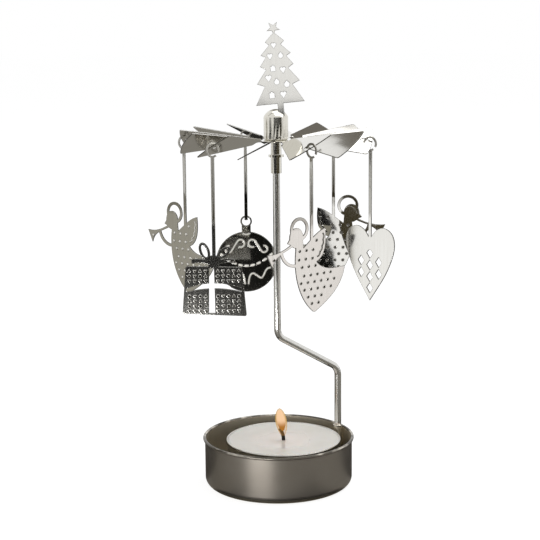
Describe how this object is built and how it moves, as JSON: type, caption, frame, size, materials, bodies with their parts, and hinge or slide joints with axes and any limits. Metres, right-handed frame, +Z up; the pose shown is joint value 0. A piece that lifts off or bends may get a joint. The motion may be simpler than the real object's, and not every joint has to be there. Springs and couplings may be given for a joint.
{
  "type": "rotary tealight carousel",
  "caption": "Tealight carousel of polished sheet steel: a tray and bent rod carry a bladed wheel on a needle point, hung with stamped angels, gift, bauble and heart under a fir tree.",
  "frame": {"origin": "middle of the tray's underside, on the table and on the wheel's turning axis", "axes": "+Z up along the turning axis, the front faces -Y, +X to the right seen from the front"},
  "size_m": [0.0803, 0.0708, 0.151],
  "materials": {
    "tray_steel": "satin",
    "rod_steel": "polished",
    "sheet_steel": "mirror polished",
    "cup_aluminium": "bright rolled",
    "wax": "waxy",
    "wick_cotton": "charred",
    "tin_plate": "plain"
  },
  "bodies": {
    "stand": {"candle_tray": "tray_steel", "stand_rod": "rod_steel", "foot_weld": "rod_steel"},
    "rotor": {"pivot_cap": "rod_steel", "guide_sleeve": "rod_steel", "retaining_ring": "rod_steel", "pinwheel_rotor": "sheet_steel", "tree_topper": "sheet_steel"},
    "heart_pendant": {"heart_pendant": "sheet_steel"},
    "angel_pendant_rear": {"angel_pendant_rear": "sheet_steel"},
    "bauble_pendant": {"bauble_pendant": "sheet_steel"},
    "angel_pendant_left": {"angel_pendant_left": "sheet_steel"},
    "gift_pendant": {"gift_pendant": "sheet_steel"},
    "angel_pendant_front": {"angel_pendant_front": "sheet_steel"},
    "tealight": {"tealight_cup": "cup_aluminium", "tealight_wax": "wax", "wick": "wick_cotton", "wick_sustainer": "tin_plate"}
  },
  "joints": [
    {"name": "rotor_spin", "type": "hinge", "parent": "stand", "child": "rotor", "pos_m": [0, 0, 0.12], "axis": [0, 0, 1], "continuous": true},
    {"name": "heart_swing", "type": "hinge", "parent": "rotor", "child": "heart_pendant", "pos_m": [0.02984, -0.00526, 0.1138], "axis": [-0.1736, -0.9848, 0], "range_deg": [-15, 25]},
    {"name": "angel_rear_swing", "type": "hinge", "parent": "rotor", "child": "angel_pendant_rear", "pos_m": [0.01948, 0.02321, 0.1138], "axis": [0.766, -0.6428, 0], "range_deg": [-15, 25]},
    {"name": "bauble_swing", "type": "hinge", "parent": "rotor", "child": "bauble_pendant", "pos_m": [-0.01036, 0.02847, 0.1138], "axis": [0.9397, 0.342, 0], "range_deg": [-15, 25]},
    {"name": "angel_left_swing", "type": "hinge", "parent": "rotor", "child": "angel_pendant_left", "pos_m": [-0.02984, 0.00526, 0.1138], "axis": [0.1736, 0.9848, 0], "range_deg": [-15, 25]},
    {"name": "gift_swing", "type": "hinge", "parent": "rotor", "child": "gift_pendant", "pos_m": [-0.01948, -0.02321, 0.1138], "axis": [-0.766, 0.6428, 0], "range_deg": [-15, 25]},
    {"name": "angel_front_swing", "type": "hinge", "parent": "rotor", "child": "angel_pendant_front", "pos_m": [0.01036, -0.02847, 0.1138], "axis": [-0.9397, -0.342, 0], "range_deg": [-15, 25]},
    {"name": "tealight_lift", "type": "slide", "parent": "stand", "child": "tealight", "axis": [0, 0, 1], "range_m": [0, 0.02]}
  ]
}
